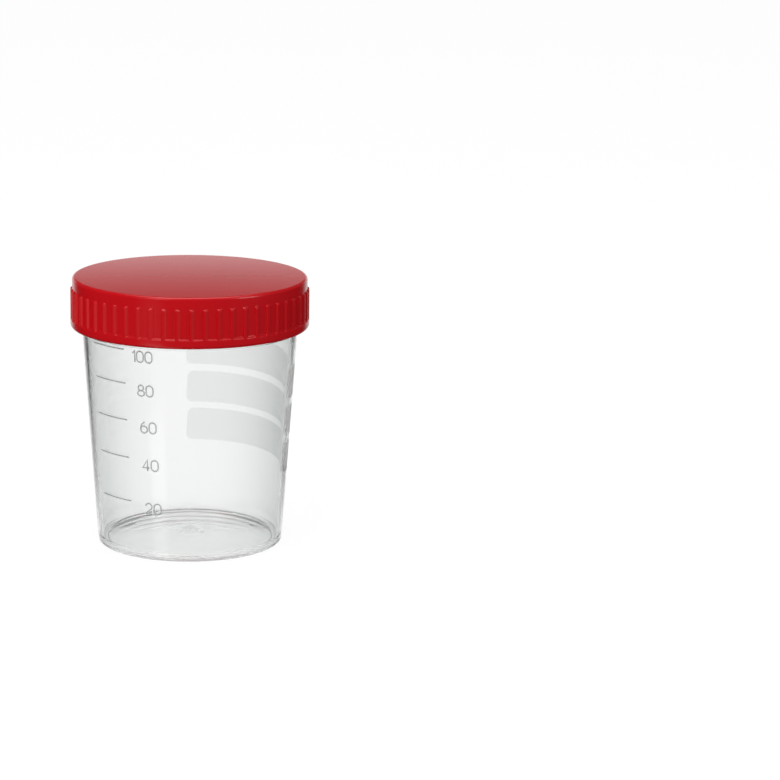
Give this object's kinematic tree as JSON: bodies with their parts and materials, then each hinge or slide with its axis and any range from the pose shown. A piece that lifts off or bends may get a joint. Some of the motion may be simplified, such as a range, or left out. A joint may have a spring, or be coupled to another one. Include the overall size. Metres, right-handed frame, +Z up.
{
  "type": "specimen container",
  "caption": "Clear drafted cup with a moulded graduation scale, frosted writing fields and a screw neck, closed by a ribbed red screw cap.",
  "frame": {"origin": "on the cup's axis, at the plane that its standing ring rests on", "axes": "+Z up the axis, from the floor to the cap; -Y towards the front, between the graduation scale on -X and the writing fields on +X; +X to the viewer's right"},
  "size_m": [0.061, 0.061, 0.0697],
  "materials": {
    "clear_plastic": "clear, smooth",
    "red_plastic": "smooth, slightly soft gloss"
  },
  "bodies": {
    "cup": {"cup": "clear_plastic"},
    "cap": {"screw_cap": "red_plastic"}
  },
  "joints": [
    {"name": "cap_turn", "type": "hinge", "parent": "cup", "child": "cap", "pos_m": [0, 0, 0.063], "axis": [0, 0, 1], "range_deg": [0, 160]}
  ]
}
